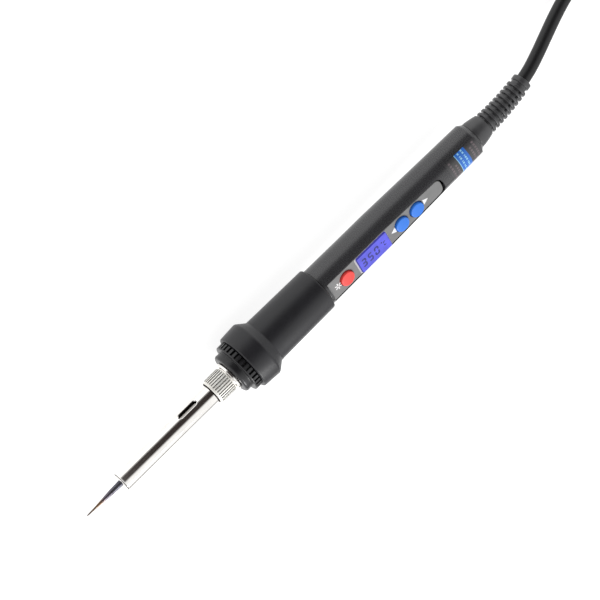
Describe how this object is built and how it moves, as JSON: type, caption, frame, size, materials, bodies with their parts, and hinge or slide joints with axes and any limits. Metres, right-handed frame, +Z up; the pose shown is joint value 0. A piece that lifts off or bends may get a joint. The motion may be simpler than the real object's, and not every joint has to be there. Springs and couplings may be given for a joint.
{
  "type": "soldering iron",
  "caption": "Slim mains soldering iron with a fine conical tip, a flared rubber grip, a control panel with a lit display and round buttons, a ribbed strain relief and a folded cord.",
  "frame": {"origin": "on the bench under the middle of the iron, halfway from the tip's point to the end of the strain relief; the iron lies level on the flare of its grip", "axes": "+X along the iron from tip to cord, +Z up out of the control panel, +Y to the side"},
  "size_m": [0.4655, 0.0564, 0.0284],
  "materials": {
    "barrel_steel": "bright drawn steel tube",
    "knurled_steel": "nickel plated, knurled",
    "nipple_steel": "turned steel",
    "tip_plating": "dark iron plating, tinned at the point",
    "locknut_brass": "plain brass",
    "pin_brass": "nickel plated brass",
    "small_steel": "zinc plated",
    "ceramic_white": "fired alumina",
    "fibre_bush": "pressed fibre",
    "shell_plastic": "charcoal, satin moulded",
    "cap_plastic": "black, satin moulded",
    "small_black_plastic": "black moulded",
    "grip_rubber": "black, matt and soft",
    "boot_rubber": "black, satin moulded",
    "cord_pvc": "black cord sheath",
    "panel_plastic": "mid grey with a light edge",
    "lens_clear": "clear, polished",
    "lcd": "blue lit display",
    "backlight": "blue light guide",
    "button_red": "red, satin moulded",
    "button_blue": "blue, satin moulded",
    "board_green": "solder mask",
    "capacitor_film": "dipped film",
    "label_print": "printed film with a blue band",
    "wire_red": "insulation",
    "wire_white": "insulation",
    "wire_brown": "insulation",
    "wire_blue": "insulation",
    "tie_strap": "hook-and-loop strap",
    "plug_pvc": "black moulded plug"
  },
  "bodies": {
    "handle": {"nipple": "nipple_steel", "nipple_locknut": "locknut_brass", "heating_element": "ceramic_white", "heater_collar": "ceramic_white", "heater_lead_a": "wire_red", "heater_lead_b": "wire_red", "sensor_lead_a": "wire_white", "sensor_lead_b": "wire_white", "insulating_bush": "fibre_bush", "front_cap": "cap_plastic", "grip_sleeve": "grip_rubber", "handle_shell": "shell_plastic", "panel_plate": "panel_plastic", "display_lens": "lens_clear", "lcd_glass": "lcd", "lcd_backlight": "backlight", "lcd_connector": "small_black_plastic", "power_switch_housing": "small_steel", "down_switch_housing": "small_steel", "up_switch_housing": "small_steel", "circuit_board": "board_green", "microcontroller": "small_black_plastic", "triac": "small_black_plastic", "filter_capacitor": "capacitor_film", "fuse": "ceramic_white", "board_screw_1": "small_steel", "board_screw_2": "small_steel", "rating_label": "label_print", "cord_anchor": "small_black_plastic", "cord_sheath": "cord_pvc", "core_live": "wire_brown", "core_neutral": "wire_blue", "strain_relief_boot": "boot_rubber", "cord": "cord_pvc", "cord_hank": "cord_pvc", "hank_tie": "tie_strap", "plug_body": "plug_pvc", "plug_pin_live": "pin_brass", "plug_pin_neutral": "pin_brass"},
    "barrel": {"soldering_tip": "tip_plating", "barrel_sleeve": "barrel_steel"},
    "nut": {"barrel_nut": "knurled_steel"},
    "power_key": {"power_button": "button_red", "power_plunger": "small_black_plastic"},
    "down_key": {"down_button": "button_blue", "down_plunger": "small_black_plastic"},
    "up_key": {"up_button": "button_blue", "up_plunger": "small_black_plastic"}
  },
  "joints": [
    {"name": "barrel_slide", "type": "slide", "parent": "handle", "child": "barrel", "axis": [-1, 0, 0], "range_m": [0, 0.006]},
    {"name": "nut_turn", "type": "hinge", "parent": "barrel", "child": "nut", "pos_m": [-0.054, 0, 0.01385], "axis": [-1, 0, 0], "range_deg": [0, 2161]},
    {"name": "power_press", "type": "slide", "parent": "handle", "child": "power_key", "axis": [0, 0, -1], "range_m": [0, 0.0006], "stiffness_N_per_m": 400, "springref_m": -0.0004},
    {"name": "down_press", "type": "slide", "parent": "handle", "child": "down_key", "axis": [0, 0, -1], "range_m": [0, 0.0006], "stiffness_N_per_m": 400, "springref_m": -0.0004},
    {"name": "up_press", "type": "slide", "parent": "handle", "child": "up_key", "axis": [0, 0, -1], "range_m": [0, 0.0006], "stiffness_N_per_m": 400, "springref_m": -0.0004}
  ],
  "couplings": [
    {"joint": "nut_turn", "follows": "barrel_slide", "rad_per_m": 6283.2}
  ]
}
